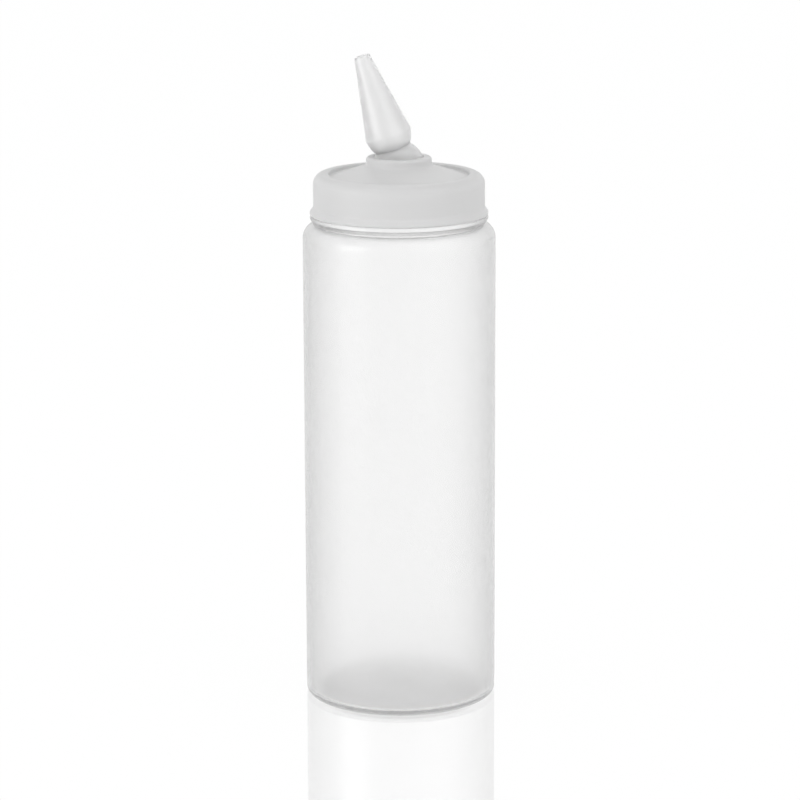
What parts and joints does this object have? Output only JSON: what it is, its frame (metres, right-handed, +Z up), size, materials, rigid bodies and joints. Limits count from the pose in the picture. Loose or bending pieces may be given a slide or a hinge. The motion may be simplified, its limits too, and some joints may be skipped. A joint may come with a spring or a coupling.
{
  "type": "squeeze bottle",
  "caption": "Empty translucent plastic squeeze bottle: a plain straight cylinder with a rounded shoulder, a screw lid with a recessed top, and a tapered nozzle that tilts in a ball socket.",
  "frame": {"origin": "on the bottle's axis, at the plane it stands on", "axes": "+Z up the bottle's axis, -Y the front, and the nozzle leans towards -X at rest"},
  "size_m": [0.07, 0.07, 0.2383],
  "materials": {
    "bottle_plastic": "blown natural low-density polyethylene, milky and see-through at one wall, soft satin gloss",
    "lid_plastic": "moulded natural polyethylene, milky, smooth semi-gloss",
    "nozzle_plastic": "moulded natural polyethylene, milky, smooth semi-gloss"
  },
  "bodies": {
    "container": {"bottle": "bottle_plastic", "lid": "lid_plastic"},
    "nozzle": {"nozzle": "nozzle_plastic"}
  },
  "joints": [
    {"name": "nozzle_tilt", "type": "hinge", "parent": "container", "child": "nozzle", "pos_m": [0, 0, 0.19751], "axis": [0, 1, 0], "range_deg": [0, 36.6]}
  ]
}
